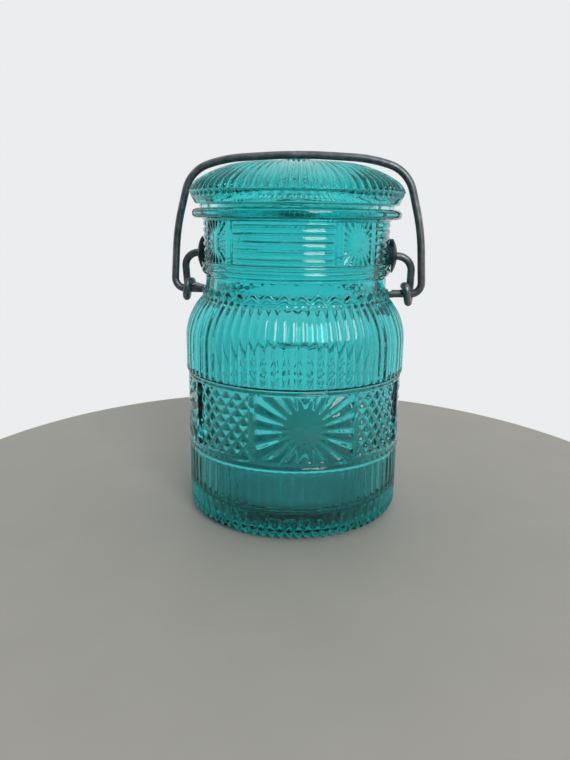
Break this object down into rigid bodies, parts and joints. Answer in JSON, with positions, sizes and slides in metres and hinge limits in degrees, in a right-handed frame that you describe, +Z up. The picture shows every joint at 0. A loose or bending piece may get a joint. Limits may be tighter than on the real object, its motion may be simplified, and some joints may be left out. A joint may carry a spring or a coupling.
{
  "type": "bail clamp jar",
  "caption": "Pressed teal glass storage jar with a fluted domed lid, held by a wire bail and an over-centre wire lever.",
  "frame": {"origin": "on the jar's axis, in the plane that it stands on", "axes": "+Z up along the jar's axis; the clamp's pivots lie along X; the lever's hoop goes round the back, at +Y"},
  "size_m": [0.1104, 0.1002, 0.1533],
  "materials": {
    "teal_glass": "pressed, clear, moulded pattern",
    "teal_glass_lid": "pressed, clear, fluted",
    "clear_seal": "translucent, matt",
    "pivot_steel": "dark oxidised",
    "dark_steel_wire": "dark oxidised, drawn"
  },
  "bodies": {
    "jar": {"jar_body": "teal_glass", "pivot_disc_left": "pivot_steel", "pivot_disc_right": "pivot_steel"},
    "lever": {"lever_wire": "dark_steel_wire"},
    "bail": {"bail_wire": "dark_steel_wire"},
    "lid": {"lid": "teal_glass_lid", "gasket": "clear_seal"}
  },
  "joints": [
    {"name": "lever_swing", "type": "hinge", "parent": "jar", "child": "lever", "pos_m": [0, 0, 0.1113], "axis": [1, 0, 0], "range_deg": [0, 100]},
    {"name": "bail_swing", "type": "hinge", "parent": "lever", "child": "bail", "pos_m": [0, 0, 0.0955], "axis": [1, 0, 0], "range_deg": [-175, 0]},
    {"name": "lid_lift", "type": "slide", "parent": "jar", "child": "lid", "axis": [0, 0, 1], "range_m": [0, 0.0025]}
  ],
  "couplings": [
    {"joint": "bail_swing", "follows": "lever_swing", "ratio": -1.75},
    {"joint": "lid_lift", "follows": "lever_swing", "m_per_rad": 0.00143}
  ]
}
